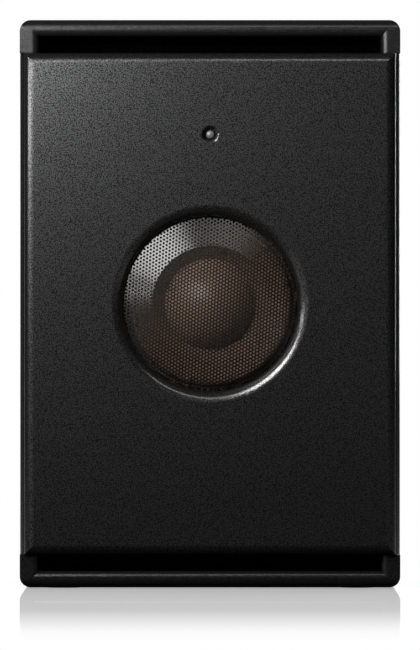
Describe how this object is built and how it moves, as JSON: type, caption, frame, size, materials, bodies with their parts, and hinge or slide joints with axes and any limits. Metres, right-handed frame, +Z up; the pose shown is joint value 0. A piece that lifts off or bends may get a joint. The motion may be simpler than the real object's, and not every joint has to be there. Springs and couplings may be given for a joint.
{
  "type": "studio subwoofer",
  "caption": "Free-standing black studio subwoofer: box cabinet with slot ports above and below a proud front baffle, a round formed grille over the driver and a rear amplifier plate.",
  "frame": {"origin": "on the floor below the middle of the whole object's box", "axes": "+Z up, the front baffle faces -Y, +X to the right of a viewer in front"},
  "size_m": [0.37, 0.4564, 0.553],
  "materials": {
    "cabinet_paint": "fibreboard in fine textured black paint",
    "baffle_paint": "fibreboard and moulding in fine textured black paint",
    "raw_board": "bare fibreboard, stained dark at the slots",
    "damping_felt": "needled felt",
    "foot_rubber": "moulded rubber",
    "grille_steel": "perforated sheet in satin black paint",
    "zinc_steel": "zinc plated",
    "black_screw": "blackened",
    "lens_plastic": "frosted clear plastic",
    "black_plastic": "moulded, fine grain",
    "circuit_laminate": "glass laminate with solder mask",
    "gasket_foam": "closed cell foam",
    "basket_casting": "die cast, black coated",
    "surround_rubber": "moulded butyl rubber",
    "cone_paper": "pressed brown pulp",
    "spider_cloth": "corrugated treated cloth",
    "former_aluminium": "rolled foil",
    "copper_wire": "enamelled round wire",
    "plated_steel": "nickel plated",
    "ferrite": "ground ferrite",
    "anodised_plate": "black anodised",
    "transformer_tape": "wound polyester tape",
    "capacitor_sleeve": "shrunk sleeve",
    "contact_brass": "plated contacts",
    "cable_jacket": "flexible jacket"
  },
  "bodies": {
    "cabinet": {"cabinet_shell": "cabinet_paint", "rear_panel": "cabinet_paint", "front_baffle": "baffle_paint", "upper_port_frame": "baffle_paint", "lower_port_frame": "baffle_paint", "window_brace": "raw_board", "upper_port_shelf": "raw_board", "lower_port_shelf": "raw_board", "left_damping_pad": "damping_felt", "right_damping_pad": "damping_felt", "rubber_feet": "foot_rubber", "grille_mesh": "grille_steel", "grille_clamp_ring": "grille_steel", "foot_screws": "zinc_steel", "driver_screws": "zinc_steel", "transformer_washer": "zinc_steel", "transformer_bolt": "zinc_steel", "board_standoffs": "zinc_steel", "amplifier_screws": "black_screw", "status_lens": "lens_plastic", "lens_holder": "black_plastic", "power_inlet": "black_plastic", "fuse_holder": "black_plastic", "power_switch_body": "black_plastic", "input_sockets": "black_plastic", "lamp_board": "circuit_laminate", "circuit_board": "circuit_laminate", "driver_terminals": "circuit_laminate", "driver_gasket": "gasket_foam", "amplifier_gasket": "gasket_foam", "transformer_pad": "gasket_foam", "driver_basket": "basket_casting", "surround": "surround_rubber", "spider": "spider_cloth", "top_plate": "plated_steel", "pole_yoke": "plated_steel", "output_sockets": "plated_steel", "phase_switch_body": "plated_steel", "level_pot": "plated_steel", "crossover_pot": "plated_steel", "ring_magnet": "ferrite", "amplifier_plate": "anodised_plate", "heat_sink": "anodised_plate", "power_transformer": "transformer_tape", "capacitors": "capacitor_sleeve", "output_pins": "contact_brass", "inlet_blades": "contact_brass", "speaker_cable": "cable_jacket"},
    "moving_cone": {"cone": "cone_paper", "dust_cap": "cone_paper", "voice_coil_former": "former_aluminium", "voice_coil_winding": "copper_wire"},
    "level_control": {"level_knob": "black_plastic", "level_shaft": "plated_steel"},
    "crossover_control": {"crossover_knob": "black_plastic", "crossover_shaft": "plated_steel"},
    "power_switch": {"power_rocker": "black_plastic"},
    "phase_switch": {"phase_lever": "plated_steel"}
  },
  "joints": [
    {"name": "cone_travel", "type": "slide", "parent": "cabinet", "child": "moving_cone", "axis": [0, -1, 0], "range_m": [-0.006, 0.006], "stiffness_N_per_m": 2500, "deforming": ["surround", "spider"]},
    {"name": "level_turn", "type": "hinge", "parent": "cabinet", "child": "level_control", "pos_m": [-0.085, 0.20325, 0.257], "axis": [0, 1, 0], "range_deg": [-150, 150]},
    {"name": "crossover_turn", "type": "hinge", "parent": "cabinet", "child": "crossover_control", "pos_m": [-0.04, 0.20325, 0.257], "axis": [0, 1, 0], "range_deg": [-150, 150]},
    {"name": "power_rock", "type": "hinge", "parent": "cabinet", "child": "power_switch", "pos_m": [0.086, 0.20425, 0.257], "axis": [1, 0, 0], "range_deg": [-16, 0]},
    {"name": "phase_flip", "type": "hinge", "parent": "cabinet", "child": "phase_switch", "pos_m": [0.005, 0.20525, 0.257], "axis": [1, 0, 0], "range_deg": [-24, 0]}
  ]
}
